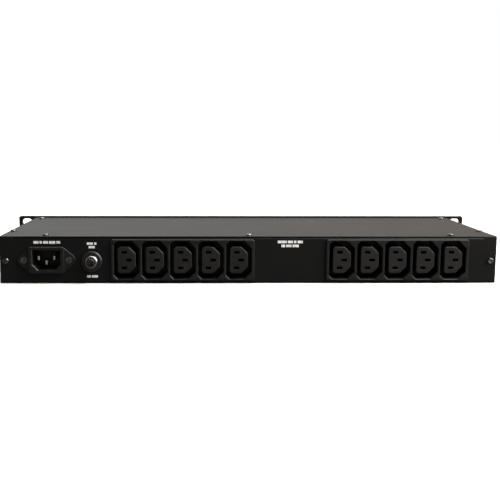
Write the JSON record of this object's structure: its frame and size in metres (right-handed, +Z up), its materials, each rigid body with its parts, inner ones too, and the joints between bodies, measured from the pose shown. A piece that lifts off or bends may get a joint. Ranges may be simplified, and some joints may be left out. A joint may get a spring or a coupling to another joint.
{
  "type": "rack power strip",
  "caption": "Rack power strip: folded steel case with rack ears, flanged inlet, reset breaker and two rows of five appliance outlets on one side, rocker switch and lamp on the other.",
  "frame": {"origin": "middle of the base's underside, half way between the outlet side and the back of the front panel", "axes": "+X to the right as seen from the outlet side, +Y from the outlet side to the front panel, +Z up"},
  "size_m": [0.4826, 0.1784, 0.044],
  "materials": {
    "powder_black": "fine powder coat, satin",
    "panel_black": "fine powder coat, satin",
    "screw_black": "black oxide",
    "screw_nickel": "black nickel plated",
    "bushing_nickel": "nickel plated",
    "moulded_black": "moulded, satin",
    "core_black": "moulded, fine texture",
    "pin_nickel": "nickel plated",
    "nut_black": "moulded",
    "button_black": "gloss",
    "rocker_black": "satin",
    "lens_green": "coloured lens",
    "lamp_plastic": "moulded",
    "brass": "bright",
    "zinc_steel": "zinc plated",
    "tinned_copper": "tinned",
    "board_green": "solder mask",
    "terminal_green": "moulded",
    "capacitor_yellow": "moulded",
    "varistor_blue": "epoxy dipped",
    "ferrite": "sintered",
    "sleeve_clear": "nylon",
    "wire_brown": "PVC",
    "wire_blue": "PVC",
    "wire_earth": "PVC",
    "wire_lamp": "PVC"
  },
  "bodies": {
    "case": {"base_pan": "powder_black", "base_screws": "screw_black", "board_screws": "zinc_steel", "board_standoffs": "zinc_steel", "breaker_back": "moulded_black", "breaker_body": "moulded_black", "breaker_bushing": "bushing_nickel", "breaker_nut": "nut_black", "breaker_spring": "zinc_steel", "breaker_terminals": "brass", "cover_screws": "screw_black", "cover_stiffener": "powder_black", "earth_bus_left": "brass", "earth_bus_right": "brass", "earth_lugs": "tinned_copper", "earth_nut": "zinc_steel", "earth_stud": "zinc_steel", "earth_wires": "wire_earth", "filter_capacitor": "capacitor_yellow", "filter_choke": "ferrite", "front_panel": "panel_black", "front_panel_screws": "screw_black", "inlet_earth_pin": "pin_nickel", "inlet_housing": "moulded_black", "inlet_nuts": "zinc_steel", "inlet_power_pins": "pin_nickel", "inlet_screws": "screw_black", "lamp_body": "lamp_plastic", "lamp_lens": "lens_green", "lamp_nut": "zinc_steel", "lamp_socket": "lamp_plastic", "lamp_wires": "wire_lamp", "line_bus_left": "brass", "line_bus_right": "brass", "line_wires": "wire_brown", "neutral_bus_left": "brass", "neutral_bus_right": "brass", "neutral_wires": "wire_blue", "outlet_back_left": "moulded_black", "outlet_back_right": "moulded_black", "outlet_cores_left": "core_black", "outlet_cores_right": "core_black", "outlet_frame_left": "moulded_black", "outlet_frame_right": "moulded_black", "rear_wall_screws": "screw_nickel", "side_wall_left": "powder_black", "side_wall_right": "powder_black", "stiffener_screws": "screw_black", "surge_board": "board_green", "switch_housing": "rocker_black", "switch_terminals": "brass", "tab_sleeves": "sleeve_clear", "terminal_block": "terminal_green", "top_cover": "powder_black", "varistors": "varistor_blue"},
    "reset": {"reset_button": "button_black", "breaker_contact_bridge": "brass"},
    "rocker": {"switch_rocker": "rocker_black", "switch_plungers": "lamp_plastic"},
    "bridges": {"switch_bridges": "brass"}
  },
  "joints": [
    {"name": "reset_slide", "type": "slide", "parent": "case", "child": "reset", "axis": [0, -1, 0], "range_m": [0, 0.0035], "deforming": ["breaker_spring"]},
    {"name": "rocker_tilt", "type": "hinge", "parent": "case", "child": "rocker", "pos_m": [-0.188, 0.08, 0.022], "axis": [1, 0, 0], "range_deg": [0, 18]},
    {"name": "bridge_tilt", "type": "hinge", "parent": "case", "child": "bridges", "pos_m": [-0.188, 0.0662, 0.022], "axis": [1, 0, 0], "range_deg": [-14.4, 0]}
  ],
  "couplings": [
    {"joint": "bridge_tilt", "follows": "rocker_tilt", "ratio": -0.8}
  ]
}
